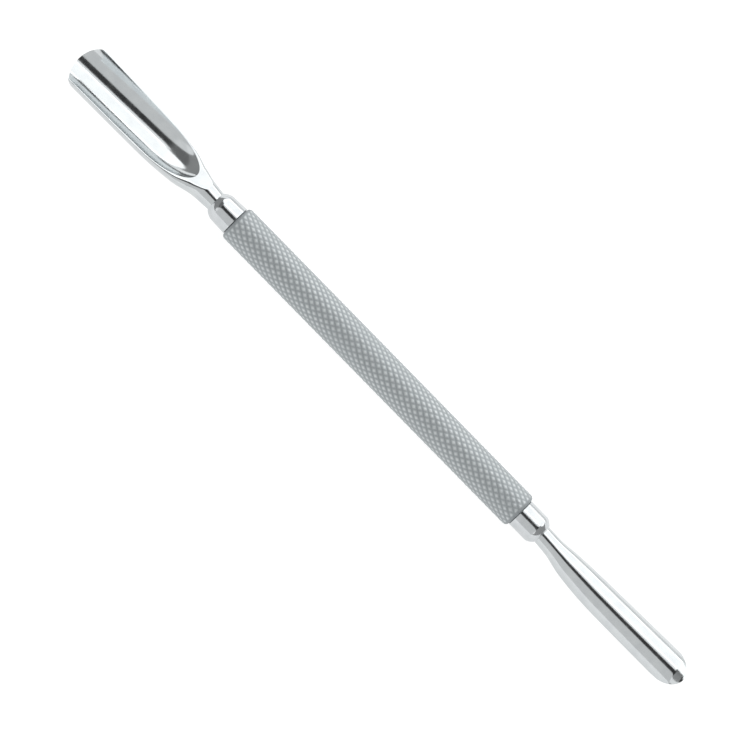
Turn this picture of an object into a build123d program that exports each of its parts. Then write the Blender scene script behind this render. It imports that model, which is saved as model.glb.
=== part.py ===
from build123d import *
from math import cos, radians, sin
import os

os.makedirs("parts", exist_ok=True)

# A two-ended cuticle pusher. Its axis is X and the middle of its grip is the origin. The large
# scoop is at -X and opens upwards (+Z). The small scoop is at +X and opens downwards, so that
# flipping the tool end for end brings it up. Every size is in millimetres.

# The grip is a knurled tube, open at both ends until the collars plug it.
grip_length = 65.8
grip_diameter = 6.5
grip_bore = 4.6
grip_large_end_round = 0.9
grip_small_end_round = 0.9
grip_end_land = 0.05        # flat ring that a rounded end keeps round the bore, at the least

# Fits. Spigots are pressed into the grip, and tangs are brazed into the collars.
spigot_clearance = 0.01
tang_clearance = 0.03
tang_end_room = 0.5         # left beyond a tang for the braze
lead_chamfer = 0.3          # on the end that goes in first
nose_lip = 0.05             # how far a collar's nose stands out round the neck it holds

# Collars. Each has a spigot inside the grip, a body outside it and a rounded nose. The seat is
# how far the body stands out past the grip's bore, and the taper is what its diameter loses.
large_collar_sizes = dict(spigot_length=7.0, seat=0.425, taper=0.25, body=3.1, nose=1.4)
small_collar_sizes = dict(spigot_length=7.0, seat=0.3, taper=0.0, body=3.7, nose=1.3)

# Tangs, one on the root of each scoop.
large_tang_diameter = 2.6
large_tang_length = 7.5
small_tang_diameter = 2.4
small_tang_length = 7.5

# Scoops. Lengths run from the collar's nose to the tip. Heights are above the tool's axis, on
# the side that the scoop opens. The throat, shoulder and belly are stations of the blank.
large_scoop_sizes = dict(
    length=32.2,
    neck=3.6,               # diameter
    throat_at=3.2,
    throat=4.28,            # diameter
    throat_rise=0.21,
    shoulder_at=7.6,
    shoulder=6.8,           # diameter
    shoulder_rise=0.8,
    belly_at=14.0,
    belly=8.16,             # diameter
    belly_rise=1.15,
    tip=8.84,               # diameter
    tip_rise=1.4,
    rim_height=1.13,
    rim_tip_height=1.13,
    rim_turn_at=12.6,       # where the rim's straight stretch to the tip starts
    rim_end_at=1.6,         # where the rim's sweep leaves the neck
    rim_end_height=2.2,
    bowl=8.5,               # diameter of the form that hollows it
    bowl_height=1.8,        # of that form's axis, at the tip
    bowl_climb=3.9,         # degrees, towards the heel
    bowl_turn_at=13.4,      # where the bowl's heel starts to close in
    bowl_dome=9.4,
    nose_length=3.2,        # how far back the tip's rounding starts
    nose_roll=30,           # degrees that the tool is rolled, as its tip is rounded
    nose_shift=0.3,         # how far the rounding's middle is from the blank's
    edge=0.12,
    bevel_length=1.7,
    bevel_depth=0.75,
)
small_scoop_sizes = dict(
    length=32.6,
    neck=3.36,
    throat_at=2.6,
    throat=3.5,
    throat_rise=0.3,
    shoulder_at=6.6,
    shoulder=4.7,
    shoulder_rise=0.85,
    belly_at=14.0,
    belly=5.7,
    belly_rise=1.2,
    tip=6.4,
    tip_rise=0.9,
    rim_height=1.7,
    rim_tip_height=0.75,
    rim_turn_at=10.6,
    rim_end_at=1.4,
    rim_end_height=1.9,
    bowl=5.6,
    bowl_height=1.15,
    bowl_climb=5.0,
    bowl_turn_at=14.6,
    bowl_dome=8.0,
    nose_length=4.4,
    nose_roll=-30,
    nose_shift=-0.2,
    edge=0.12,
    bevel_length=1.7,
    bevel_depth=0.6,
)

body_stations = 4           # evenly spaced sections of the blank, from its belly to its tip
cut_overrun = 2.0           # how far a cutter runs past what it cuts

# Each joint is a plane where one piece meets the next: its x points out along the tool, and its
# z points to the side that the scoop beyond it opens on.
large_grip_end = Plane(origin=(-grip_length / 2, 0, 0), x_dir=(-1, 0, 0), z_dir=(0, 0, 1))
small_grip_end = Plane(origin=(grip_length / 2, 0, 0), x_dir=(1, 0, 0), z_dir=(0, 0, -1))


def beyond(joint, distance):
    """The same joint plane, moved out along the tool."""
    origin = joint.from_local_coords((distance, 0, 0))
    return Plane(origin=origin, x_dir=joint.x_dir, z_dir=joint.z_dir)


def across(joint):
    """The plane square to the tool at a joint, with the opening side up."""
    return Plane(origin=joint.origin, x_dir=joint.y_dir, z_dir=joint.x_dir)


def side_view(joint):
    """The plane through the tool's axis at a joint, with the opening side up."""
    return Plane(origin=joint.origin, x_dir=joint.x_dir, z_dir=-joint.y_dir)


def collar(joint, spigot_length, seat, taper, body, nose, neck, tang, tang_length):
    """A turned plug that seats on the grip's end and is bored for a scoop's tang."""
    spigot = grip_bore / 2 - spigot_clearance
    base = grip_bore / 2 + seat
    front = base - taper / 2
    mouth = neck / 2 + nose_lip
    with BuildPart() as turned:
        with BuildSketch(side_view(joint)):
            with BuildLine():
                outline = Polyline(
                    (-spigot_length, 0),
                    (-spigot_length, spigot - lead_chamfer),
                    (-spigot_length + lead_chamfer, spigot),
                    (0, spigot),
                    (0, base),
                    (body, front),
                )
                round_nose = RadiusArc(outline @ 1, (body + nose, mouth), nose * 2)
                Polyline(round_nose @ 1, (body + nose, 0), outline @ 0)
            make_face()
        revolve(axis=Axis(joint.origin, joint.x_dir))
        with BuildSketch(across(beyond(joint, body + nose))):
            Circle(tang / 2 + tang_clearance)
        extrude(amount=-(tang_length + tang_end_room), mode=Mode.SUBTRACT)
    return turned


def scoop(
    joint, length, neck, throat_at, throat, throat_rise, shoulder_at, shoulder,
    shoulder_rise, belly_at, belly, belly_rise, tip, tip_rise, rim_height, rim_tip_height,
    rim_turn_at, rim_end_at, rim_end_height, bowl, bowl_height, bowl_climb, bowl_turn_at,
    bowl_dome, nose_length, nose_roll, nose_shift, edge, bevel_length, bevel_depth,
    tang, tang_length,
):
    """A forged and ground scoop, from the tang that its collar holds to its thin tip."""
    climb = radians(bowl_climb)
    heelwards = joint.z_dir * sin(climb) - joint.x_dir * cos(climb)
    bowl_end = joint.from_local_coords((length, 0, bowl_height))
    bowl_straight = length - bowl_turn_at
    bowl_view = Plane(origin=bowl_end, x_dir=heelwards, z_dir=joint.y_dir)
    bowl_axis = Axis(bowl_end, heelwards)
    roll = radians(nose_roll)
    nose_view = Plane(
        origin=joint.from_local_coords((0, 0, tip_rise)),
        x_dir=joint.x_dir,
        z_dir=joint.z_dir * cos(roll) + joint.y_dir * sin(roll),
    )

    with BuildPart() as forged:
        # The blank swells from the round neck to the tip, and every section is a circle.
        stations = [
            (0, neck, 0),
            (throat_at, throat, throat_rise),
            (shoulder_at, shoulder, shoulder_rise),
            (belly_at, belly, belly_rise),
        ]
        for step in range(1, body_stations + 1):
            share = step / body_stations
            stations.append(
                (
                    belly_at + share * (length - belly_at),
                    belly + share * (tip - belly),
                    belly_rise + share * (tip_rise - belly_rise),
                )
            )
        for distance, diameter, rise in stations:
            with BuildSketch(across(beyond(joint, distance))):
                with Locations((0, rise)):
                    Circle(diameter / 2)
        loft()

        # The rim is ground along its side view, and sweeps up to the top of the neck.
        with BuildSketch(side_view(joint)):
            with BuildLine():
                rim = Line(
                    (length + cut_overrun, rim_tip_height), (rim_turn_at, rim_height)
                )
                sweep_up = TangentArc(rim @ 1, (rim_end_at, rim_end_height), tangent=rim % 1)
                Polyline(
                    sweep_up @ 1, (rim_end_at, tip), (length + cut_overrun, tip), rim @ 0
                )
            make_face()
        extrude(amount=tip, both=True, mode=Mode.SUBTRACT)

        # The bowl is hollowed by a round-nosed form that runs out at the heel.
        with BuildSketch(bowl_view):
            with BuildLine():
                floor = Line((-cut_overrun, bowl / 2), (bowl_straight, bowl / 2))
                EllipticalCenterArc(
                    (bowl_straight, 0), bowl_dome, bowl / 2, start_angle=0, arc_size=90
                )
                Polyline((bowl_straight + bowl_dome, 0), (-cut_overrun, 0), floor @ 0)
            make_face()
        revolve(axis=bowl_axis, mode=Mode.SUBTRACT)

        # The back is bevelled at the tip, down to a thin edge round the bowl.
        with BuildSketch(bowl_view):
            with BuildLine():
                Polyline(
                    (-cut_overrun, bowl / 2 + edge),
                    (0, bowl / 2 + edge),
                    (bevel_length, bowl / 2 + edge + bevel_depth),
                    (bevel_length, tip),
                    (-cut_overrun, tip),
                    close=True,
                )
            make_face()
        revolve(axis=bowl_axis, mode=Mode.SUBTRACT)

        # The tip is rounded with the tool rolled to one side. Seen from that side, it is
        # half an ellipse.
        with BuildSketch(nose_view):
            with Locations((length - nose_length, nose_shift)):
                Ellipse(nose_length, tip / 2 - abs(nose_shift))
            with Locations(((length - nose_length) / 2, 0)):
                Rectangle(length - nose_length, 2 * tip)
        extrude(amount=2 * tip, both=True, mode=Mode.INTERSECT)

        # The tang.
        with BuildSketch(across(joint)):
            Circle(tang / 2)
        extrude(amount=-tang_length)
        tang_end = forged.edges().filter_by(GeomType.CIRCLE).sort_by(
            Axis(joint.origin, joint.x_dir)
        )[0]
        chamfer(tang_end, lead_chamfer)
    return forged


# Grip.
widest_round = (grip_diameter - grip_bore) / 2 - grip_end_land
with BuildPart() as grip:
    with BuildSketch(across(large_grip_end)):
        Circle(grip_diameter / 2)
        Circle(grip_bore / 2, mode=Mode.SUBTRACT)
    extrude(amount=-grip_length)
    rims = grip.edges().filter_by(GeomType.CIRCLE).group_by(SortBy.RADIUS)[-1].sort_by(Axis.X)
    fillet(rims[0], min(grip_large_end_round, widest_round))
    fillet(rims[-1], min(grip_small_end_round, widest_round))
grip.part.label = "grip"
export_step(grip.part, "parts/grip.step")

# Large end.
large_collar = collar(
    large_grip_end,
    neck=large_scoop_sizes["neck"],
    tang=large_tang_diameter,
    tang_length=large_tang_length,
    **large_collar_sizes,
)
large_collar.part.label = "large_collar"
export_step(large_collar.part, "parts/large_collar.step")

large_scoop = scoop(
    beyond(large_grip_end, large_collar_sizes["body"] + large_collar_sizes["nose"]),
    tang=large_tang_diameter,
    tang_length=large_tang_length,
    **large_scoop_sizes,
)
large_scoop.part.label = "large_scoop"
export_step(large_scoop.part, "parts/large_scoop.step")

# Small end.
small_collar = collar(
    small_grip_end,
    neck=small_scoop_sizes["neck"],
    tang=small_tang_diameter,
    tang_length=small_tang_length,
    **small_collar_sizes,
)
small_collar.part.label = "small_collar"
export_step(small_collar.part, "parts/small_collar.step")

small_scoop = scoop(
    beyond(small_grip_end, small_collar_sizes["body"] + small_collar_sizes["nose"]),
    tang=small_tang_diameter,
    tang_length=small_tang_length,
    **small_scoop_sizes,
)
small_scoop.part.label = "small_scoop"
export_step(small_scoop.part, "parts/small_scoop.step")
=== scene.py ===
from math import atan2, copysign, cos, hypot, pi, radians, sin, sqrt

import bmesh
import bpy
from mathutils import Matrix, Vector


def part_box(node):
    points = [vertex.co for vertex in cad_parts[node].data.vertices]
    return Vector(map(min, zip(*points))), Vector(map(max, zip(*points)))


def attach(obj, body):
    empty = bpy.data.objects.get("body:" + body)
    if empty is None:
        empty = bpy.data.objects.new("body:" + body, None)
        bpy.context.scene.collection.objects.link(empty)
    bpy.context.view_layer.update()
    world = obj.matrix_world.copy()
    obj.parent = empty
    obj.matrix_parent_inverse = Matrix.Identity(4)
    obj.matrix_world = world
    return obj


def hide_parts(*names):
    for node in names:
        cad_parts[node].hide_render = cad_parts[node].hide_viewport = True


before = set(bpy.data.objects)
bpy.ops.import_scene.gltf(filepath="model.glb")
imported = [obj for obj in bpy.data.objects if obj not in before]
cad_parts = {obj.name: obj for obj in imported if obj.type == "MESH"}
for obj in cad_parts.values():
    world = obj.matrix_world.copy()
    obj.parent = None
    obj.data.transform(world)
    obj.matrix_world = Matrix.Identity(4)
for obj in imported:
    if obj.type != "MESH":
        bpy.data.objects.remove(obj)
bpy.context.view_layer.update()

# ---------------------------------------------------------------------------
# Grip: a stainless steel tube, diamond-knurled on the lathe by a pair of cut
# knurling wheels, so two sets of helical grooves cross and leave small blunt
# pyramids. Its ends are rounded over, and the collars are pressed into it.
# ---------------------------------------------------------------------------
mm = 0.001
grip_low, grip_high = (Vector(corner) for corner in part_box("grip"))
grip_length = grip_high.x - grip_low.x
grip_radius = (grip_high.z - grip_low.z) / 2
grip_bore_radius = 2.3 * mm
grip_end_rounds = {"Large End Round": 0.9 * mm, "Small End Round": 0.9 * mm}
knurl_starts = 20           # grooves of each hand, counted round the tube
knurl_columns = 84          # half pitches along it, which makes a pitch of 1.58 mm
knurl_depth = 0.12 * mm
knurl_crest = 0.2           # share of a pyramid's width that its blunt top takes
knurl_second_cut = 0.82     # how deep the grooves of one hand are, next to the other's


def linear(hex_colour):
    """An sRGB hex colour as the linear red, green, blue and alpha that a shader takes."""
    channels = [int(hex_colour[i:i + 2], 16) / 255 for i in (1, 3, 5)]
    return [c / 12.92 if c <= 0.04045 else ((c + 0.055) / 1.055) ** 2.4 for c in channels] + [1]


def add(tree, kind, inputs=(), **settings):
    """Adds a node. Settings are its own properties, and inputs gives a value or a link for
    each socket, by its name or its number."""
    node = tree.nodes.new(kind)
    for name, value in settings.items():
        setattr(node, name, value)
    for socket, value in dict(inputs).items():
        if isinstance(value, bpy.types.NodeSocket):
            tree.links.new(value, node.inputs[socket])
        else:
            node.inputs[socket].default_value = value
    return node


def new_material(name):
    """An empty node material, with its tree and its Principled shader joined to the output."""
    material = bpy.data.materials.new(name)
    material.use_nodes = True
    tree = material.node_tree
    tree.nodes.clear()
    shader = add(tree, "ShaderNodeBsdfPrincipled")
    add(tree, "ShaderNodeOutputMaterial", {"Surface": shader.outputs["BSDF"]})
    return material, tree, shader


# Knurled stainless steel: the wheels leave the grooves matt, and handling and tumbling polish the
# blunt tops.
# Its base colour is darker down the grooves, partly grime and partly painted shade, and lighter
# on the tops as a painted highlight, so a light grey carries rows of brighter painted dots.
knurled_steel, tree, shader = new_material("knurled_stainless_steel")
place = add(tree, "ShaderNodeTexCoord").outputs["Object"]
axes = add(tree, "ShaderNodeSeparateXYZ", {0: place}).outputs
from_axis = add(tree, "ShaderNodeCombineXYZ", {"Y": axes["Y"], "Z": axes["Z"]}).outputs[0]
distance = add(tree, "ShaderNodeVectorMath", {0: from_axis}, operation="LENGTH")
height = add(
    tree,
    "ShaderNodeMapRange",
    {
        "Value": distance.outputs["Value"],
        "From Min": grip_radius - knurl_depth,
        "From Max": grip_radius - 0.01 * mm,
    },
    interpolation_type="SMOOTHSTEP",
).outputs[0]
grain = add(                # 0.12 mm, the tumbled surface's grain
    tree, "ShaderNodeTexNoise", {"Vector": place, "Scale": 1 / (0.12 * mm), "Detail": 3.0}
).outputs["Fac"]
patches = add(              # 6 mm, where fingers have worn it more or less
    tree, "ShaderNodeTexNoise", {"Vector": place, "Scale": 1 / (6 * mm), "Detail": 2.0}
).outputs["Fac"]
wear = add(
    tree,
    "ShaderNodeMapRange",
    {"Value": patches, "From Min": 0.3, "From Max": 0.7, "To Min": 0.9, "To Max": 1.04},
).outputs[0]
groove_shade_and_wear = add(tree, "ShaderNodeMath", {0: height, 1: wear}, operation="MULTIPLY").outputs[0]
# Painted shade and painted highlight: the colour follows the knurl's depth, darkest on the groove
# floors and lightest on the crests, with random worn patches over it.
tone = add(tree, "ShaderNodeValToRGB", {"Fac": groove_shade_and_wear})
tone.color_ramp.elements[0].color = linear("#b1b6b8")
tone.color_ramp.elements[1].color = linear("#d0d4d5")
shoulder = tone.color_ramp.elements.new(0.72)
shoulder.color = linear("#bcc1c3")
tree.links.new(tone.outputs["Color"], shader.inputs["Base Color"])
matt = add(
    tree,
    "ShaderNodeMapRange",
    {"Value": height, "From Min": 0.0, "From Max": 1.0, "To Min": 0.72, "To Max": 0.54},
).outputs[0]
rough = add(tree, "ShaderNodeMath", {0: grain, 1: 0.12, 2: matt}, operation="MULTIPLY_ADD")
tree.links.new(rough.outputs[0], shader.inputs["Roughness"])
tumbled = add(
    tree,
    "ShaderNodeBump",
    {"Strength": 0.35, "Distance": 0.012 * mm, "Height": grain},
)
tree.links.new(tumbled.outputs["Normal"], shader.inputs["Normal"])
shader.inputs["Metallic"].default_value = 1.0

# The knurl is laid out flat, one pyramid at each crossing of a lattice, and rolled up.
knurl = bpy.data.node_groups.new("diamond knurl", "GeometryNodeTree")
for name, kind in (
    ("Length", "NodeSocketFloat"),
    ("Radius", "NodeSocketFloat"),
    ("Bore Radius", "NodeSocketFloat"),
    ("Large End Round", "NodeSocketFloat"),
    ("Small End Round", "NodeSocketFloat"),
    ("Depth", "NodeSocketFloat"),
    ("Crest", "NodeSocketFloat"),
    ("Second Cut", "NodeSocketFloat"),
    ("Starts", "NodeSocketInt"),
    ("Columns", "NodeSocketInt"),
):
    knurl.interface.new_socket(name, in_out="INPUT", socket_type=kind)
knurl.interface.new_socket("Geometry", in_out="OUTPUT", socket_type="NodeSocketGeometry")
given = add(knurl, "NodeGroupInput").outputs


def calc(operation, *values):
    """The output of a Math node in the knurl's tree, which joins its values by one operation."""
    return add(knurl, "ShaderNodeMath", enumerate(values), operation=operation).outputs[0]


def point_axes():
    """The X, Y and Z outputs for where each point stands at this stage of the tree."""
    point = add(knurl, "GeometryNodeInputPosition").outputs[0]
    return add(knurl, "ShaderNodeSeparateXYZ", {0: point}).outputs


around = calc("DIVIDE", calc("MULTIPLY", given["Radius"], 2 * pi), given["Starts"])
along = calc("DIVIDE", given["Length"], given["Columns"])
half_length = calc("MULTIPLY", given["Length"], 0.5)

# One pyramid, on a square that the two groove directions then pull into a diamond. The square
# has five cells each way, so that the middle one is the blunt top.
square = add(
    knurl,
    "GeometryNodeMeshGrid",
    {"Size X": 2.0, "Size Y": 2.0, "Vertices X": 6, "Vertices Y": 6},
)
corner = point_axes()
a, b = corner["X"], corner["Y"]
blunt = calc("SUBTRACT", 1.0, given["Crest"])
first_flank, second_flank = (
    calc("DIVIDE", calc("SUBTRACT", 1.0, calc("ABSOLUTE", side)), blunt) for side in (a, b)
)
uncut = calc("SUBTRACT", 1.0, given["Second Cut"])
shallow_flank = calc("MULTIPLY_ADD", second_flank, given["Second Cut"], uncut)
flank = calc("MINIMUM", first_flank, shallow_flank)
pyramid_place = add(
    knurl,
    "ShaderNodeCombineXYZ",
    {
        "X": calc("MULTIPLY", calc("SUBTRACT", a, b), calc("MULTIPLY", along, 0.5)),
        "Y": calc("MULTIPLY", calc("ADD", a, b), calc("MULTIPLY", around, 0.25)),
        "Z": calc("MULTIPLY", calc("MINIMUM", flank, 1.0), given["Depth"]),
    },
).outputs[0]
pyramid = add(
    knurl,
    "GeometryNodeSetPosition",
    {"Geometry": square.outputs["Mesh"], "Position": pyramid_place},
)
pyramid = add(
    knurl,
    "GeometryNodeTriangulate",
    {"Mesh": pyramid.outputs[0]},
    quad_method="SHORTEST_DIAGONAL",
)

# The lattice: every other column stands half a pitch further round.
lattice = add(
    knurl,
    "GeometryNodeMeshGrid",
    {
        "Size X": given["Length"],
        "Size Y": calc("MULTIPLY", around, calc("SUBTRACT", given["Starts"], 1.0)),
        "Vertices X": calc("ADD", given["Columns"], 1.0),
        "Vertices Y": given["Starts"],
    },
)
spot = point_axes()
column = calc("ROUND", calc("DIVIDE", calc("ADD", spot["X"], half_length), along))
odd = calc("FLOORED_MODULO", column, 2.0)
stagger = calc("MULTIPLY", odd, calc("MULTIPLY", around, 0.5))
lattice = add(
    knurl,
    "GeometryNodeSetPosition",
    {
        "Geometry": lattice.outputs["Mesh"],
        "Offset": add(knurl, "ShaderNodeCombineXYZ", {"Y": stagger}).outputs[0],
    },
)
pyramids = add(
    knurl,
    "GeometryNodeInstanceOnPoints",
    {"Points": lattice.outputs[0], "Instance": pyramid.outputs[0]},
)
sheet = add(knurl, "GeometryNodeRealizeInstances", {0: pyramids.outputs[0]})

# What would run past the tube's ends is cut off, and the sheet is rolled up and rounded over.
flat = point_axes()
far = calc("ABSOLUTE", flat["X"])
past = add(
    knurl,
    "FunctionNodeCompare",
    {0: far, 1: calc("ADD", half_length, 0.01 * mm)},
    data_type="FLOAT",
    operation="GREATER_THAN",
)
sheet = add(
    knurl,
    "GeometryNodeDeleteGeometry",
    {"Geometry": sheet.outputs[0], "Selection": past.outputs[0]},
    domain="POINT",
)
at_large_end = calc("LESS_THAN", flat["X"], 0.0)
larger_by = calc("SUBTRACT", given["Large End Round"], given["Small End Round"])
end_round = calc("MULTIPLY_ADD", at_large_end, larger_by, given["Small End Round"])
past_round = calc("SUBTRACT", far, calc("SUBTRACT", half_length, end_round))
into_round = calc("MINIMUM", calc("MAXIMUM", past_round, 0.0), end_round)
rounding = calc(
    "SQRT",
    calc(
        "SUBTRACT",
        calc("MULTIPLY", end_round, end_round),
        calc("MULTIPLY", into_round, into_round),
    ),
)
crest_limit = calc("ADD", calc("SUBTRACT", given["Radius"], end_round), rounding)
groove_floor = calc("SUBTRACT", given["Radius"], given["Depth"])
out_from_axis = calc("MINIMUM", calc("ADD", groove_floor, flat["Z"]), crest_limit)
turn = calc("MULTIPLY", calc("DIVIDE", flat["Y"], given["Radius"]), -1.0)
rolled_place = add(
    knurl,
    "ShaderNodeCombineXYZ",
    {
        "X": flat["X"],
        "Y": calc("MULTIPLY", out_from_axis, calc("COSINE", turn)),
        "Z": calc("MULTIPLY", out_from_axis, calc("SINE", turn)),
    },
).outputs[0]
rolled = add(
    knurl, "GeometryNodeSetPosition", {"Geometry": sheet.outputs[0], "Position": rolled_place}
)
rolled = add(
    knurl, "GeometryNodeMergeByDistance", {"Geometry": rolled.outputs[0], "Distance": 0.01 * mm}
)

# The end faces run in to the bore, and the bore runs to the middle from both ends.
open_edge = add(
    knurl,
    "FunctionNodeCompare",
    {2: add(knurl, "GeometryNodeInputMeshEdgeNeighbors").outputs[0], 3: 1},
    data_type="INT",
    operation="EQUAL",
)
ends = add(
    knurl,
    "GeometryNodeExtrudeMesh",
    {"Mesh": rolled.outputs[0], "Selection": open_edge.outputs[0], "Offset Scale": 0.0},
    mode="EDGES",
)
here = point_axes()
spoke = add(
    knurl,
    "ShaderNodeCombineXYZ",
    {"Y": here["Y"], "Z": here["Z"]},
).outputs[0]
at_bore = add(
    knurl,
    "ShaderNodeVectorMath",
    {
        0: add(knurl, "ShaderNodeVectorMath", {0: spoke}, operation="NORMALIZE").outputs[0],
        "Scale": given["Bore Radius"],
    },
    operation="SCALE",
).outputs[0]
end_face_place = add(
    knurl,
    "ShaderNodeVectorMath",
    {0: at_bore, 1: add(knurl, "ShaderNodeCombineXYZ", {"X": here["X"]}).outputs[0]},
    operation="ADD",
).outputs[0]
end_faces = add(
    knurl,
    "GeometryNodeSetPosition",
    {
        "Geometry": ends.outputs["Mesh"],
        "Selection": ends.outputs["Top"],
        "Position": end_face_place,
    },
)
bore = add(
    knurl,
    "GeometryNodeExtrudeMesh",
    {"Mesh": end_faces.outputs[0], "Selection": ends.outputs["Top"], "Offset Scale": 0.0},
    mode="EDGES",
)
bore_wall = add(
    knurl,
    "GeometryNodeSetPosition",
    {"Geometry": bore.outputs["Mesh"], "Selection": bore.outputs["Top"], "Position": at_bore},
)
tube = add(
    knurl,
    "GeometryNodeMergeByDistance",
    {"Geometry": bore_wall.outputs[0], "Distance": 0.002 * mm},
)
tube = add(
    knurl, "GeometryNodeSetShadeSmooth", {"Geometry": tube.outputs[0], "Shade Smooth": True}
)
tube = add(
    knurl, "GeometryNodeSetMaterial", {"Geometry": tube.outputs[0], "Material": knurled_steel}
)
add(knurl, "NodeGroupOutput", {"Geometry": tube.outputs[0]})


def placed(name, mesh, material):
    """A finished piece at the origin, with its place in its mesh."""
    if material.name not in mesh.materials:
        mesh.materials.append(material)
    piece = bpy.data.objects.new(name, mesh)
    bpy.context.scene.collection.objects.link(piece)
    return piece


knurl_sizes = {
    "Length": grip_length,
    "Radius": grip_radius,
    "Bore Radius": grip_bore_radius,
    "Depth": knurl_depth,
    "Crest": knurl_crest,
    "Second Cut": knurl_second_cut,
    "Starts": knurl_starts,
    "Columns": knurl_columns,
    **grip_end_rounds,
}
blank = bpy.data.objects.new("grip_blank", bpy.data.meshes.new("grip_blank"))
bpy.context.scene.collection.objects.link(blank)
rolling = blank.modifiers.new("knurling", "NODES")
rolling.node_group = knurl
for socket in knurl.interface.items_tree:
    if socket.in_out == "INPUT":
        rolling[socket.identifier] = knurl_sizes[socket.name]
blank.update_tag()
bpy.context.view_layer.update()
evaluated = blank.evaluated_get(bpy.context.evaluated_depsgraph_get())
knurled_tube = bpy.data.meshes.new_from_object(evaluated)
blank.modifiers.clear()
bpy.data.objects.remove(blank)
knurled_tube.set_sharp_from_angle(angle=radians(50))
grip = placed("knurled_grip", knurled_tube, knurled_steel)
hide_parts("grip")
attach(grip, "root")

# ---------------------------------------------------------------------------
# Collars: stainless steel plugs, turned and polished in the lathe. Each has a
# spigot pressed into the grip, a smooth body that steps down from the knurl
# and a rounded nose, bored to hold the tang of its scoop.
# ---------------------------------------------------------------------------
spigot_length = 7.0
spigot_radius = 2.29
lead_chamfer = 0.3          # on the end of a spigot or a tang, which goes in first
collar_edge = 0.08          # the file's break on a turned corner
collar_sides = 128
body_rings, nose_rings = 6, 14
tang_bore_depth = 8.0


def lathe(name, profile, joint_x, outwards, material):
    """A turned piece. The profile gives distances out from a joint and radii, in millimetres."""
    form = bmesh.new()
    rings = []
    for distance, radius in profile:
        x = joint_x + outwards * distance * mm
        if radius == 0:
            rings.append([form.verts.new((x, 0, 0))] * collar_sides)
            continue
        rings.append(
            [
                form.verts.new(
                    (
                        x,
                        radius * mm * cos(2 * pi * i / collar_sides),
                        radius * mm * sin(2 * pi * i / collar_sides),
                    )
                )
                for i in range(collar_sides)
            ]
        )
    for ring, following in zip(rings, rings[1:]):
        for i in range(collar_sides):
            j = (i + 1) % collar_sides
            face = list(dict.fromkeys((ring[i], ring[j], following[j], following[i])))
            form.faces.new(face)
    bmesh.ops.recalc_face_normals(form, faces=form.faces)
    mesh = bpy.data.meshes.new(name)
    form.to_mesh(mesh)
    form.free()
    mesh.polygons.foreach_set("use_smooth", [True] * len(mesh.polygons))
    mesh.set_sharp_from_angle(angle=radians(28))
    return placed(name, mesh, material)


def collar_profile(base, front, body, nose, mouth, tang_bore):
    """A collar's section, from the spigot's end round to the bottom of its bore."""
    points = [
        (-spigot_length, 0),
        (-spigot_length, spigot_radius - lead_chamfer),
        (-spigot_length + lead_chamfer, spigot_radius),
        (0, spigot_radius),
        (0, base - collar_edge),
    ]
    points += [
        (collar_edge * (1 - cos(turn)), base - collar_edge * (1 - sin(turn)))
        for turn in (radians(22.5), radians(45), radians(67.5), radians(90))
    ]
    points += [
        (body * k / body_rings, base + (front - base) * k / body_rings)
        for k in range(1, body_rings)
    ]
    # The nose is an arc of twice its own length in radius, through the body's edge and the mouth.
    chord = hypot(nose, front - mouth)
    bend = 2 * nose
    rise = sqrt(bend * bend - chord * chord / 4)
    middle = (body + nose / 2, (front + mouth) / 2)
    centre = (
        middle[0] - rise * (front - mouth) / chord,
        middle[1] - rise * nose / chord,
    )
    first = atan2(front - centre[1], body - centre[0])
    last = atan2(mouth - centre[1], body + nose - centre[0])
    points += [
        (
            centre[0] + bend * cos(first + (last - first) * k / nose_rings),
            centre[1] + bend * sin(first + (last - first) * k / nose_rings),
        )
        for k in range(nose_rings + 1)
    ]
    end = body + nose
    bore_end = end - tang_bore_depth
    points += [(end, tang_bore), (bore_end, tang_bore), (bore_end, 0)]
    return points


# Turned and polished stainless steel: near a mirror, with the finest rings left by the tool
# and the polishing mop, so a reflection stays sharp and is only slightly drawn out along it.
turned_steel, tree, shader = new_material("turned_polished_stainless_steel")
place = add(tree, "ShaderNodeTexCoord").outputs["Object"]
axes = add(tree, "ShaderNodeSeparateXYZ", {0: place}).outputs
ring_place = add(tree, "ShaderNodeCombineXYZ", {"X": axes["X"]}).outputs[0]
rings = add(                # 0.06 mm between the mop's rings
    tree, "ShaderNodeTexNoise", {"Vector": ring_place, "Scale": 1 / (0.06 * mm), "Detail": 2.0}
).outputs["Fac"]
mottle = add(               # 1.5 mm, the handling film
    tree, "ShaderNodeTexNoise", {"Vector": place, "Scale": 1 / (1.5 * mm), "Detail": 3.0}
).outputs["Fac"]
tone = add(tree, "ShaderNodeValToRGB", {"Fac": mottle})
tone.color_ramp.elements[0].position = 0.3
tone.color_ramp.elements[0].color = linear("#c2c6c8")
tone.color_ramp.elements[1].position = 0.7
tone.color_ramp.elements[1].color = linear("#cbced0")
tree.links.new(tone.outputs["Color"], shader.inputs["Base Color"])
film = add(
    tree,
    "ShaderNodeMapRange",
    {"Value": mottle, "From Min": 0.3, "From Max": 0.7, "To Min": 0.09, "To Max": 0.14},
).outputs[0]
rough = add(tree, "ShaderNodeMath", {0: rings, 1: 0.05, 2: film}, operation="MULTIPLY_ADD")
tree.links.new(rough.outputs[0], shader.inputs["Roughness"])
turned = add(
    tree, "ShaderNodeBump", {"Strength": 0.25, "Distance": 0.0015 * mm, "Height": rings}
)
tree.links.new(turned.outputs["Normal"], shader.inputs["Normal"])
shader.inputs["Metallic"].default_value = 1.0

large_collar_body, large_collar_nose = 3.1, 1.4
large_collar = lathe(
    "turned_large_collar",
    collar_profile(
        base=2.725, front=2.6, body=large_collar_body, nose=large_collar_nose, mouth=1.85,
        tang_bore=1.33,
    ),
    grip_low.x,
    -1,
    turned_steel,
)
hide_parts("large_collar")
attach(large_collar, "root")

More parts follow.
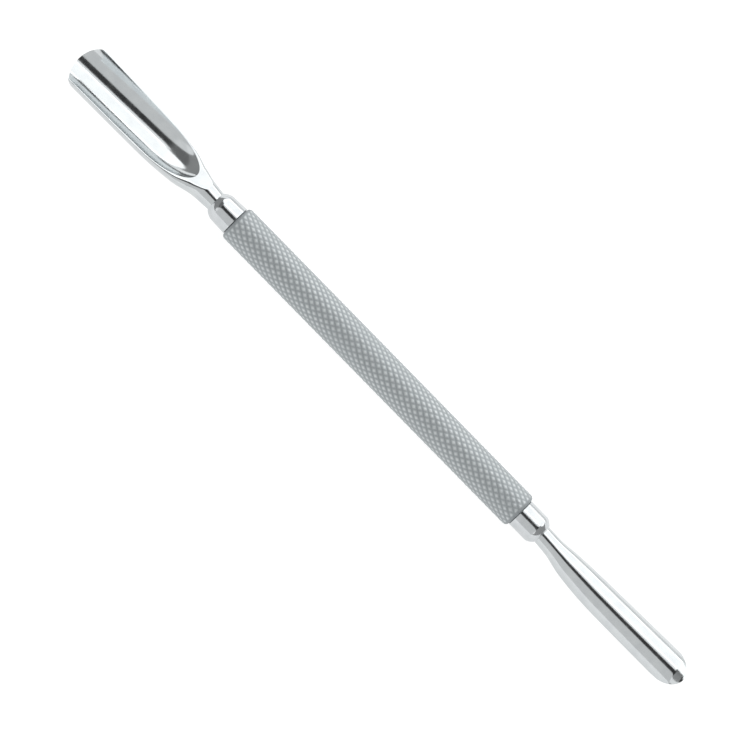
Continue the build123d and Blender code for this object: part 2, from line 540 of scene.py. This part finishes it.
small_collar_body, small_collar_nose = 3.7, 1.3
small_collar = lathe(
    "turned_small_collar",
    collar_profile(
        base=2.6, front=2.6, body=small_collar_body, nose=small_collar_nose, mouth=1.73,
        tang_bore=1.23,
    ),
    grip_high.x,
    1,
    turned_steel,
)
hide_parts("small_collar")
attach(small_collar, "root")

# ---------------------------------------------------------------------------
# Large scoop: forged from stainless bar, hollowed and ground, then mopped to
# a mirror along its length. It grows out of a round neck, opens into a long
# bowl with a thin rim and ends in a tip that is bevelled on the back. Its
# tang is brazed into the collar.
# ---------------------------------------------------------------------------
large_scoop_sizes = dict(
    length=32.2,
    stations=(
        (0, 3.6, 0), (3.2, 4.28, 0.21), (7.6, 6.8, 0.8), (14.0, 8.16, 1.15), (32.2, 8.84, 1.4),
    ),
    rim_tip_height=1.13,
    rim_height=1.13,
    rim_turn_at=12.6,
    rim_end=(1.6, 2.2),
    bowl_radius=4.25,
    bowl_height=1.8,
    bowl_climb=3.9,
    bowl_turn_at=13.4,
    bowl_dome=9.4,
    nose_length=3.2,
    nose_roll=30,
    nose_shift=0.3,
    edge=0.12,
    bevel_length=1.7,
    bevel_depth=0.75,
    soft_edge=((0, 1.3), (4.0, 1.3), (9.0, 0.4), (15.0, 0.08), (33.0, 0.08)),
    tang=(1.3, 7.5),
)


def through(points, at):
    """The value at one place of a smooth curve through points, which never overshoots them."""
    for k in range(len(points) - 1):
        if at <= points[k + 1][0] or k == len(points) - 2:
            break
    steps = [(q[1] - p[1]) / (q[0] - p[0]) for p, q in zip(points, points[1:])]

    def slope(i):
        if i == 0 or i == len(points) - 1:
            return steps[0] if i == 0 else steps[-1]
        before, after = steps[i - 1], steps[i]
        return 0 if before * after <= 0 else 2 * before * after / (before + after)

    (x0, y0), (x1, y1) = points[k], points[k + 1]
    span = x1 - x0
    u = min(max((at - x0) / span, 0), 1)
    return (
        y0 * (1 + 2 * u) * (1 - u) ** 2
        + slope(k) * span * u * (1 - u) ** 2
        + y1 * u * u * (3 - 2 * u)
        + slope(k + 1) * span * u * u * (u - 1)
    )


def scoop(
    name, joint_x, outwards, opens, material, length, stations, rim_tip_height, rim_height,
    rim_turn_at, rim_end, bowl_radius, bowl_height, bowl_climb, bowl_turn_at, bowl_dome,
    nose_length, nose_roll, nose_shift, edge, bevel_length, bevel_depth, soft_edge, tang,
):
    """A scoop from its tang to its tip. Sections are taken square to the tool: the outside is
    a circle, ground flat at the rim, and the bowl is hollowed out by a round-nosed form."""
    climb = radians(bowl_climb)
    tip_radius, tip_rise = stations[-1][1] / 2, stations[-1][2]
    roll = radians(nose_roll)
    nose_start = length - nose_length
    radii = [(at, diameter / 2) for at, diameter, rise in stations]
    rises = [(at, rise) for at, diameter, rise in stations]

    # The rim is straight from the tip, then an arc that leaves it smoothly for the neck.
    run = Vector((rim_turn_at - length, rim_height - rim_tip_height)).normalized()
    square = Vector((-run.y, run.x))
    if square.y < 0:
        square = -square
    chord = Vector(rim_end) - Vector((rim_turn_at, rim_height))
    sweep = chord.length_squared / (2 * chord.dot(square))
    sweep_centre = Vector((rim_turn_at, rim_height)) + square * sweep

    def rim(at):
        if at >= rim_turn_at:
            share = (length - at) / (length - rim_turn_at)
            return rim_tip_height + (rim_height - rim_tip_height) * share
        off = at - sweep_centre.x
        return sweep_centre.y - copysign(sqrt(max(sweep * sweep - off * off, 0)), sweep)

    def form_radius(u):
        beyond = (u - (length - bowl_turn_at)) / bowl_dome
        if beyond <= 0:
            return bowl_radius
        return bowl_radius * sqrt(max(1 - beyond * beyond, 0))

    def in_form(at, height):
        back, up = length - at, height - bowl_height
        return back * cos(climb) + up * sin(climb), up * cos(climb) - back * sin(climb)

    def bowl_half_width(at):
        u, v = in_form(at, rim(at))
        return sqrt(max(form_radius(u) ** 2 - v * v, 0))

    def bowl_point(at, angle):
        u = length - at
        for _ in range(30):
            u = (length - at - form_radius(u) * cos(angle) * sin(climb)) / cos(climb)
        radius = form_radius(u)
        height = bowl_height + u * sin(climb) - radius * cos(angle) * cos(climb)
        return radius * sin(angle), height

    def bowl_floor(at, y, radius):
        v = -sqrt(max(radius * radius - y * y, 0))
        return bowl_height + ((length - at) * sin(climb) + v) / cos(climb)

    def back_height(at, y):
        radius, rise = through(radii, at), through(rises, at)
        height = rise - sqrt(max(radius * radius - y * y, 0))
        bevelled = height
        for _ in range(12):
            u = in_form(at, bevelled)[0]
            if u > bevel_length:
                return height
            cone = bowl_radius + edge + bevel_depth * max(u, 0) / bevel_length
            bevelled = bowl_floor(at, y, cone)
        return max(height, bevelled)

    # The heel, where the bowl runs out into the saddle.
    low, high = rim_end[0], bowl_turn_at
    for _ in range(60):
        heel = (low + high) / 2
        u, v = in_form(heel, rim(heel))
        low, high = (heel, high) if form_radius(u) + v <= 0 else (low, heel)
    heel = high

    # Steps round a section: its back, its softened edge, the flat rim and the bowl. A number
    # below bend is on the back or the edge, and one below outline is on the outside or the rim.
    arc_steps, edge_steps, land_steps, bowl_steps = 30, 6, 6, 32
    bend = arc_steps + edge_steps
    outline = bend + land_steps
    neck_rows, heel_rows, bowl_rows, nose_rows = 44, 26, 54, 22
    heel_run = 4.0          # how far the rows stand close together, where the bowl begins

    def half_section(at):
        """Points (y, height) up one side, from the back's middle to the rim and the bowl."""
        radius, rise = through(radii, at), through(rises, at)
        top = min(rim(at), rise + radius) if at > rim_end[0] else rise + radius
        soft = min(through(soft_edge, at), radius * 0.45)
        up = top - soft - rise
        inner = sqrt(max((radius - soft) ** 2 - up * up, 0))
        last = atan2(up, inner) if inner > 0 else pi / 2
        points = [
            (radius * cos(turn), rise + radius * sin(turn))
            for turn in (
                -pi / 2 + (last + pi / 2) * k / arc_steps for k in range(arc_steps + 1)
            )
        ]
        points += [
            (inner + soft * cos(turn), top - soft + soft * sin(turn))
            for turn in (
                last + (pi / 2 - last) * k / edge_steps for k in range(1, edge_steps + 1)
            )
        ]
        half = min(bowl_half_width(at), inner) if at > heel else 0.0
        points += [
            (inner + (half - inner) * k / land_steps, top) for k in range(1, land_steps + 1)
        ]
        if at < heel:
            return points
        u, v = in_form(at, rim(at))
        widest = atan2(half, -v)
        points += [
            bowl_point(at, widest * (1 - k / bowl_steps)) for k in range(1, bowl_steps + 1)
        ]
        return points

    def nose_end(side, number, y, height):
        """How far out a line of the last section meets the tip's outline, which is half an
        ellipse as seen with the tool rolled."""
        half = tip_radius - abs(nose_shift)
        end = height
        for _ in range(4):
            off = -side * y * cos(roll) - (end - tip_rise) * sin(roll) - nose_shift
            at = nose_start + nose_length * sqrt(max(1 - (off / half) ** 2, 0))
            end = nose_height(number, at, y, height)
        return at

    def nose_height(number, at, y, height):
        """How high a line of the last section is once it has run on to a place in the nose."""
        if number <= bend:
            return height + back_height(at, y) - back_height(nose_start, y)
        if number <= outline:
            return height + rim(at) - rim(nose_start)
        return height + bowl_floor(at, y, bowl_radius) - bowl_floor(nose_start, y, bowl_radius)

    form = bmesh.new()

    def vert(at, y, height):
        return form.verts.new((joint_x + outwards * at * mm, y * mm, opens * height * mm))

    def strip(row, following):
        for p, q, r, s in zip(row, row[1:], following[1:], following):
            form.faces.new((p, q, r, s))

    # The tang, then the neck, then the bowl, row by row up each side.
    tang_radius, tang_length = tang
    turns = [-pi / 2 + pi * min(k / arc_steps, 1) for k in range(outline + 1)]
    bowl_start = heel + heel_run
    places = [heel * k / neck_rows for k in range(neck_rows)]
    places += [heel + heel_run * (k / heel_rows) ** 2 for k in range(heel_rows)]
    places += [
        bowl_start + (nose_start - bowl_start) * k / bowl_rows for k in range(bowl_rows + 1)
    ]
    sections = [(at, half_section(at)) for at in places]
    last_section = sections[-1][1]
    for side in (1, -1):
        rows = [
            [vert(at, side * radius * cos(t), radius * sin(t)) for t in turns]
            for at, radius in (
                (-tang_length, 0.0),
                (-tang_length, tang_radius - lead_chamfer),
                (-tang_length + lead_chamfer, tang_radius),
                (0.0, tang_radius),
            )
        ]
        rows += [[vert(at, side * y, height) for y, height in points] for at, points in sections]

        # The nose: each line runs on to the tip's outline.
        ends = [nose_end(side, number, *point) for number, point in enumerate(last_section)]
        for k in range(1, nose_rows + 1):
            row = []
            for number, (y, height) in enumerate(last_section):
                at = nose_start + (ends[number] - nose_start) * k / nose_rows
                row.append(vert(at, side * y, nose_height(number, at, y, height)))
            rows.append(row)
        for row, following in zip(rows, rows[1:]):
            if len(following) > len(row):
                row = row + [vert(heel, 0, rim(heel)) for _ in range(len(following) - len(row))]
            strip(row, following)

        # The tip's thin edge joins the back to the bowl.
        back, front = rows[-1][bend::-1], rows[-1][bend:]
        i = j = 0
        while i < len(back) - 1 or j < len(front) - 1:
            ahead = (i + 1) / (len(back) - 1) <= (j + 1) / (len(front) - 1)
            if j == len(front) - 1 or (i < len(back) - 1 and ahead):
                corners = (back[i], back[i + 1], front[j])
                i += 1
            else:
                corners = (back[i], front[j + 1], front[j])
                j += 1
            if len(set(corners)) == 3:
                form.faces.new(corners)

    bmesh.ops.remove_doubles(form, verts=form.verts, dist=0.0004 * mm)
    bmesh.ops.dissolve_degenerate(form, edges=form.edges, dist=0.0002 * mm)
    bmesh.ops.recalc_face_normals(form, faces=form.faces)
    mesh = bpy.data.meshes.new(name)
    form.to_mesh(mesh)
    form.free()
    mesh.polygons.foreach_set("use_smooth", [True] * len(mesh.polygons))
    mesh.set_sharp_from_angle(angle=radians(32))
    return placed(name, mesh, material)


# Mirror-polished stainless steel: drawn along the mop in its last pass, so hair lines run the
# length of the tool. It shows the lights almost sharply, with a slight grey film.
mirror_steel, tree, shader = new_material("mirror_polished_stainless_steel")
place = add(tree, "ShaderNodeTexCoord").outputs["Object"]
drawn = add(                # hair lines 0.09 mm apart and some 6 mm long
    tree,
    "ShaderNodeMapping",
    {"Vector": place, "Scale": (1 / (6 * mm), 1 / (0.09 * mm), 1 / (0.09 * mm))},
    vector_type="POINT",
).outputs[0]
hair_lines = add(
    tree, "ShaderNodeTexNoise", {"Vector": drawn, "Scale": 1.0, "Detail": 3.0}
).outputs["Fac"]
mottle = add(               # 2 mm, the handling film
    tree, "ShaderNodeTexNoise", {"Vector": place, "Scale": 1 / (2 * mm), "Detail": 3.0}
).outputs["Fac"]
tone = add(tree, "ShaderNodeValToRGB", {"Fac": mottle})
tone.color_ramp.elements[0].position = 0.3
tone.color_ramp.elements[0].color = linear("#c3c7c9")
tone.color_ramp.elements[1].position = 0.7
tone.color_ramp.elements[1].color = linear("#cbcfd0")
tree.links.new(tone.outputs["Color"], shader.inputs["Base Color"])
film = add(
    tree,
    "ShaderNodeMapRange",
    {"Value": mottle, "From Min": 0.3, "From Max": 0.7, "To Min": 0.09, "To Max": 0.14},
).outputs[0]
rough = add(tree, "ShaderNodeMath", {0: hair_lines, 1: 0.05, 2: film}, operation="MULTIPLY_ADD")
tree.links.new(rough.outputs[0], shader.inputs["Roughness"])
mopped = add(
    tree, "ShaderNodeBump", {"Strength": 0.2, "Distance": 0.0012 * mm, "Height": hair_lines}
)
tree.links.new(mopped.outputs["Normal"], shader.inputs["Normal"])
shader.inputs["Metallic"].default_value = 1.0

large_scoop = scoop(
    "forged_large_scoop",
    grip_low.x - (large_collar_body + large_collar_nose) * mm,
    -1,
    1,
    mirror_steel,
    **large_scoop_sizes,
)
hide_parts("large_scoop")
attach(large_scoop, "root")

# ---------------------------------------------------------------------------
# Small scoop: the same kind of forging, narrower and shallower, set half a
# turn round so that it opens away from the large one. It has the same mopped
# finish, and its tang is brazed into the other collar.
# ---------------------------------------------------------------------------
small_scoop_sizes = dict(
    length=32.6,
    stations=(
        (0, 3.36, 0), (2.6, 3.5, 0.3), (6.6, 4.7, 0.85), (14.0, 5.7, 1.2), (32.6, 6.4, 0.9),
    ),
    rim_tip_height=0.83,
    rim_height=1.7,
    rim_turn_at=10.6,
    rim_end=(1.4, 1.9),
    bowl_radius=2.8,
    bowl_height=1.15,
    bowl_climb=5.0,
    bowl_turn_at=14.6,
    bowl_dome=8.0,
    nose_length=4.4,
    nose_roll=-30,
    nose_shift=-0.2,
    edge=0.12,
    bevel_length=1.7,
    bevel_depth=0.6,
    soft_edge=((0, 1.2), (4.0, 1.0), (9.0, 0.3), (15.0, 0.08), (33.0, 0.08)),
    tang=(1.2, 7.5),
)
small_scoop = scoop(
    "forged_small_scoop",
    grip_high.x + (small_collar_body + small_collar_nose) * mm,
    1,
    -1,
    mirror_steel,
    **small_scoop_sizes,
)
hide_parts("small_scoop")
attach(small_scoop, "root")

# ---------------------------------------------------------------------------
# Table: a white acrylic light table that the tool lies on, lit from beneath
# and evenly, so that nothing casts more than a trace of a shadow.
# ---------------------------------------------------------------------------
white_acrylic, _, shader = new_material("white_acrylic_light_table")
shader.inputs["Base Color"].default_value = linear("#808080")
shader.inputs["Roughness"].default_value = 0.6
shader.inputs["Emission Color"].default_value = linear("#ffffff")
shader.inputs["Emission Strength"].default_value = 0.9
table_half = 4.0            # metres each way from the middle, so that its edges are never seen
table_mesh = bpy.data.meshes.new("light_table")
table_mesh.from_pydata(
    [
        (x * table_half, y * table_half, grip_low.z)
        for x, y in ((-1, -1), (1, -1), (1, 1), (-1, 1))
    ],
    [],
    [(0, 1, 2, 3)],
)
table = placed("light_table", table_mesh, white_acrylic)

# A tent of white paper closes the view behind the table. It is matt and out of the lights'
# way, so it is only ever a background.
white_paper, _, shader = new_material("white_background_paper")
shader.inputs["Base Color"].default_value = linear("#f4f4f4")
shader.inputs["Roughness"].default_value = 0.9
shader.inputs["Emission Color"].default_value = linear("#ffffff")
shader.inputs["Emission Strength"].default_value = 0.97
tent_form = bmesh.new()
bmesh.ops.create_uvsphere(tent_form, u_segments=48, v_segments=24, radius=table_half)
bmesh.ops.reverse_faces(tent_form, faces=tent_form.faces)
tent_mesh = bpy.data.meshes.new("paper_tent")
tent_form.to_mesh(tent_mesh)
tent_form.free()
tent = placed("paper_tent", tent_mesh, white_paper)
tent.visible_glossy = False
tent.visible_diffuse = False
tent.visible_transmission = False
tent.visible_shadow = False

# ---------------------------------------------------------------------------
# Studio: a large key soft box above and behind the tool, a strip beside the
# lens, a low box at the back and a weaker one on the camera's side, with dim
# ones past both ends. Polished steel shows the gap between the strip and the
# camera's side as a thin dark line along its length.
# ---------------------------------------------------------------------------
scene = bpy.context.scene
scene.view_settings.view_transform = "Standard"
scene.view_settings.look = "None"
world = bpy.data.worlds.new("studio")
world.use_nodes = True
world.node_tree.nodes["Background"].inputs["Color"].default_value = linear("#ffffff")
world.node_tree.nodes["Background"].inputs["Strength"].default_value = 0.05
scene.world = world


def soft_box(name, first, last, radiance, half_width, endwards=0.0, distance=0.6):
    """A soft box that fills the angles from first to last, in degrees from straight up towards
    the back, and half_width degrees each way along the tool. Endwards leans it to one end."""
    middle, half = radians((first + last) / 2), radians((last - first) / 2)
    light = bpy.data.lights.new(name, "AREA")
    light.shape = "ELLIPSE"
    light.size = 2 * distance * sin(radians(half_width)) / cos(radians(half_width))
    light.size_y = 2 * distance * sin(half) / cos(half)
    light.energy = radiance * pi * light.size * light.size_y * pi / 4
    lamp = bpy.data.objects.new(name, light)
    facing = Vector((endwards, sin(middle), cos(middle))).normalized()
    along_tool = (Vector((1, 0, 0)) - facing * facing.x).normalized()
    lamp.matrix_world = Matrix.Translation(facing * distance) @ Matrix(
        (along_tool, facing.cross(along_tool), facing)
    ).transposed().to_4x4()
    lamp.visible_camera = False
    scene.collection.objects.link(lamp)


soft_box("key_soft_box", 0, 66, 1.6, 46)
soft_box("lens_side_soft_box", -12, 8, 1.2, 26)
soft_box("back_soft_box", 57, 100, 0.92, 60)
soft_box("camera_side_soft_box", -100, -33.5, 0.78, 44)
soft_box("large_end_soft_box", -60, 60, 0.15, 34, endwards=-1.6)
soft_box("large_end_low_soft_box", -60, 60, 0.15, 20, endwards=-3.0)
soft_box("small_end_soft_box", -60, 60, 0.34, 26, endwards=2.0)

# The camera looks down at the tool with a long lens, from 30 degrees off straight above. The
# tool lies slantwise across its view.
aim = Vector((-0.51, -1.08, -0.62)) * mm
seen_width = 119.5 * mm
backwards = Vector((0, -0.5, sqrt(0.75)))
tool_slant = radians(45.5977)
level = Vector((1, 0, 0))
across_tool = backwards.cross(level)
right = level * cos(tool_slant) + across_tool * sin(tool_slant)
up = backwards.cross(right)
lens = bpy.data.cameras.new("long_lens")
lens.sensor_width = 36
lens.lens = 250
lens.clip_start = 0.01
lens.clip_end = 20
camera = bpy.data.objects.new("long_lens", lens)
camera.matrix_world = Matrix.Translation(
    aim + backwards * seen_width * lens.lens / lens.sensor_width
) @ Matrix((right, up, backwards)).transposed().to_4x4()
scene.collection.objects.link(camera)
scene.camera = camera

bpy.context.view_layer.update()
